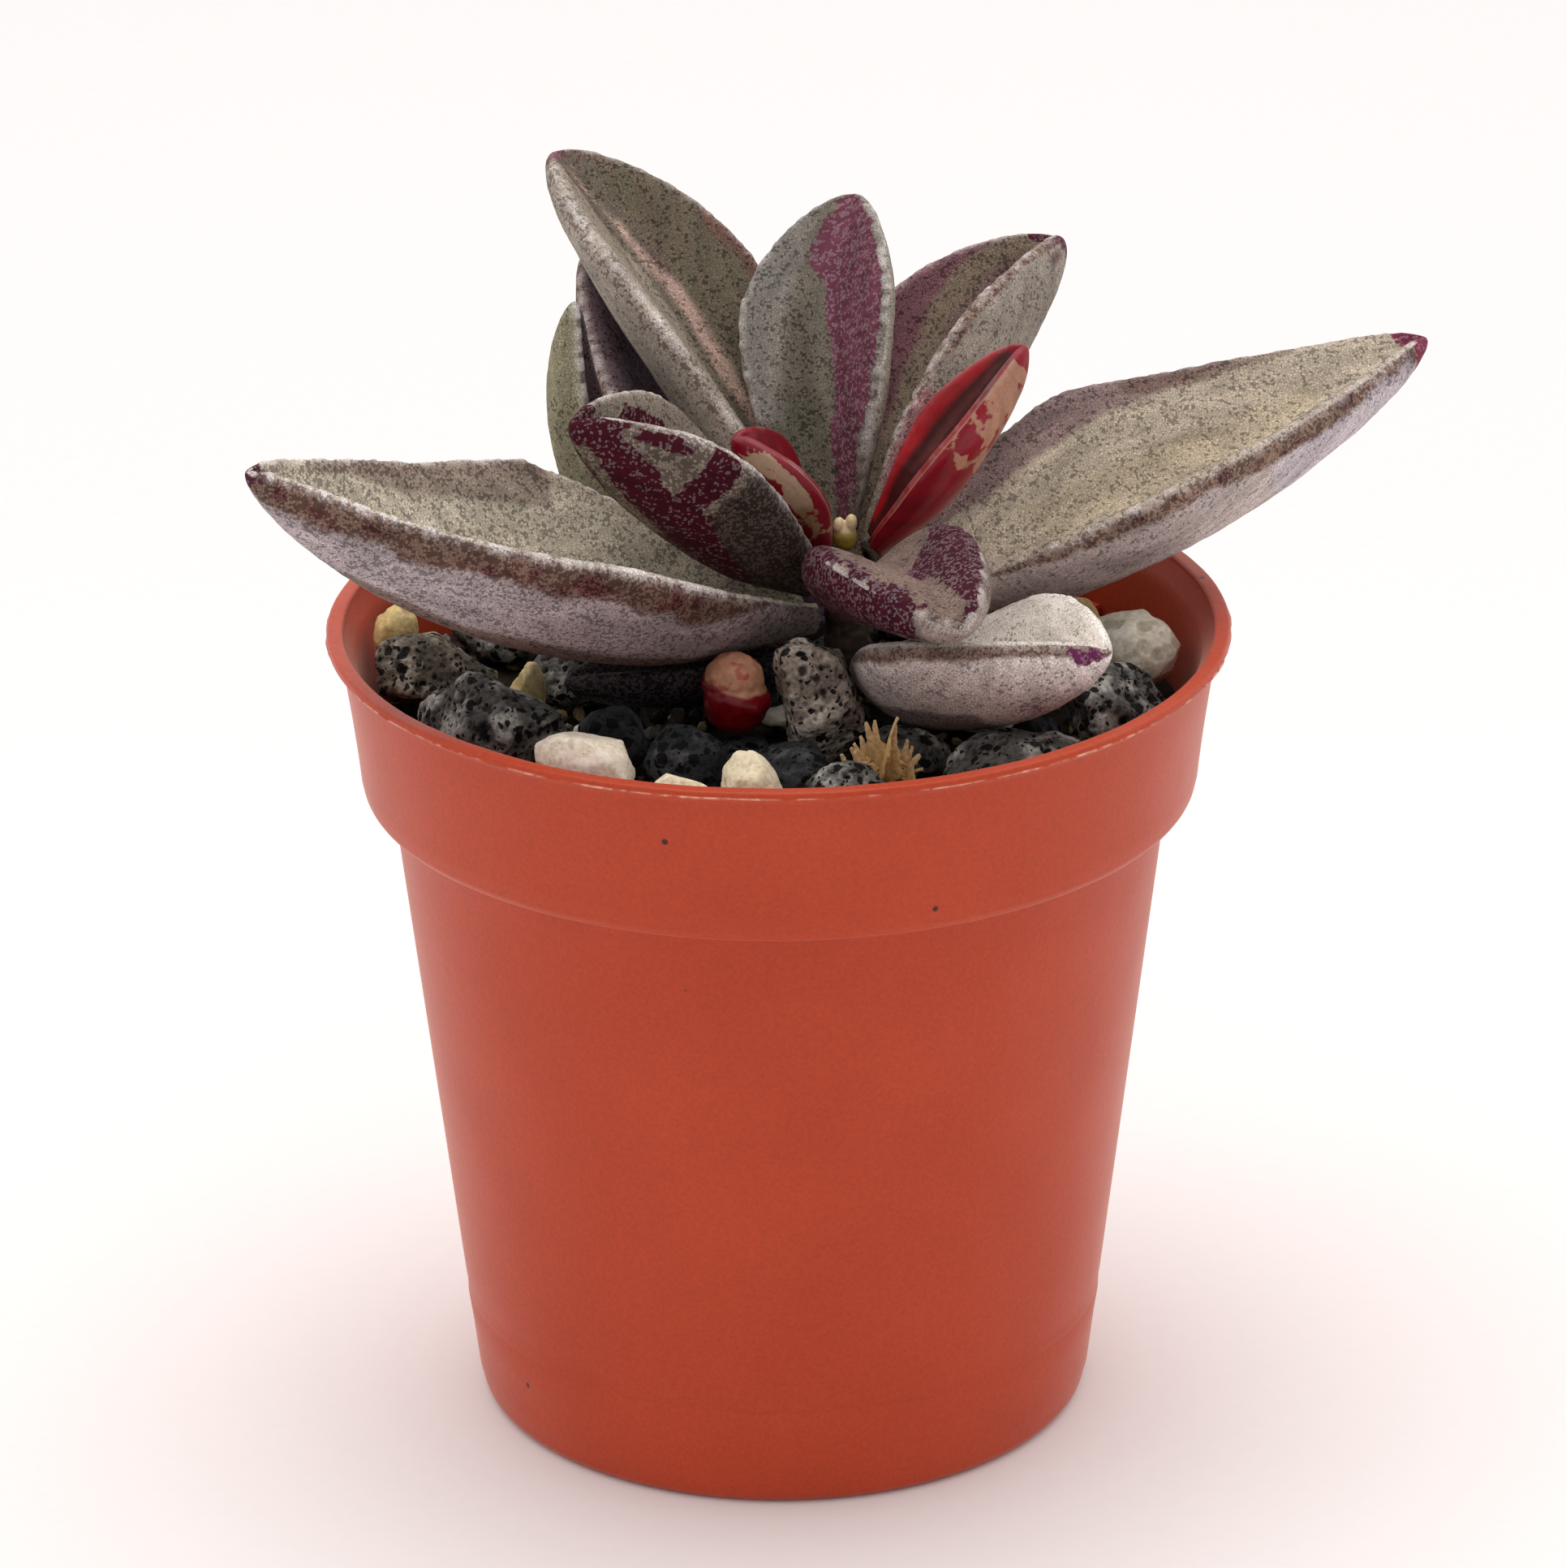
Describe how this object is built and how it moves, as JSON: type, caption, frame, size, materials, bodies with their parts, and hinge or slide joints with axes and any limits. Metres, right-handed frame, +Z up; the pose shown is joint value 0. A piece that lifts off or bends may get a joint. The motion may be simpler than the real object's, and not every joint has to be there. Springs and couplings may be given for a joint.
{
  "type": "potted lenophyllum",
  "caption": "Small variegated succulent with thick boat-shaped leaves, growing in lava gravel in a round plastic nursery pot.",
  "frame": {"origin": "middle of the pot's base, on the surface the pot stands on", "axes": "+Z up along the pot's axis, -Y towards the viewer of the picture, +X to the viewer's right"},
  "size_m": [0.0715, 0.0552, 0.0739],
  "materials": {
    "pot_plastic": "moulded terracotta-orange polypropylene, satin",
    "potting_mix": "dark crumbly peat and grit",
    "stem_bark": "brown corky skin",
    "growing_tip": "waxy olive young tissue",
    "scurfy_leaf": "grey-green and purple leaf skin with white scurf",
    "red_leaf": "smooth crimson and cream leaf skin",
    "offset_bud": "waxy red and cream skin",
    "dry_husk": "dry straw-coloured scales",
    "lava_gravel": "porous dark grey lava",
    "dark_gravel": "broken dark rock",
    "pale_gravel": "chalky cream and yellow pumice"
  },
  "bodies": {
    "root": {"cream_front": "pale_gravel", "cream_rim": "pale_gravel", "dry_husk": "dry_husk", "grit_yellow": "pale_gravel", "growing_tip": "growing_tip", "lava_big": "lava_gravel", "lava_centre": "lava_gravel", "lava_front_right": "lava_gravel", "lava_left": "lava_gravel", "lava_right": "lava_gravel", "leaf_back_centre": "scurfy_leaf", "leaf_back_low": "scurfy_leaf", "leaf_back_right": "scurfy_leaf", "leaf_back_tall": "scurfy_leaf", "leaf_far_left": "scurfy_leaf", "leaf_front_centre": "scurfy_leaf", "leaf_front_right": "scurfy_leaf", "leaf_left_large": "scurfy_leaf", "leaf_left_mid": "scurfy_leaf", "leaf_red_left": "red_leaf", "leaf_red_right": "red_leaf", "leaf_right_large": "scurfy_leaf", "leaf_under_left": "scurfy_leaf", "offset_bud": "offset_bud", "pale_right": "pale_gravel", "pot": "pot_plastic", "potting_mix": "potting_mix", "rock_left": "dark_gravel", "rock_middle": "dark_gravel", "rock_under_bud": "dark_gravel", "stem": "stem_bark", "stone_01": "lava_gravel", "stone_02": "dark_gravel", "stone_03": "lava_gravel", "stone_04": "pale_gravel", "stone_05": "lava_gravel", "stone_06": "dark_gravel", "stone_07": "pale_gravel", "stone_08": "lava_gravel", "stone_09": "dark_gravel", "stone_10": "lava_gravel", "stone_11": "pale_gravel", "stone_12": "lava_gravel", "stone_13": "dark_gravel", "stone_14": "pale_gravel", "stone_15": "lava_gravel", "stone_16": "dark_gravel", "stone_17": "lava_gravel", "stone_18": "pale_gravel", "stone_19": "lava_gravel", "stone_20": "dark_gravel", "stone_21": "pale_gravel", "stone_22": "lava_gravel", "stone_23": "dark_gravel", "stone_24": "lava_gravel", "stone_25": "pale_gravel", "stone_26": "lava_gravel", "white_front": "pale_gravel", "yellow_left": "pale_gravel", "yellow_right": "pale_gravel"}
  },
  "joints": []
}
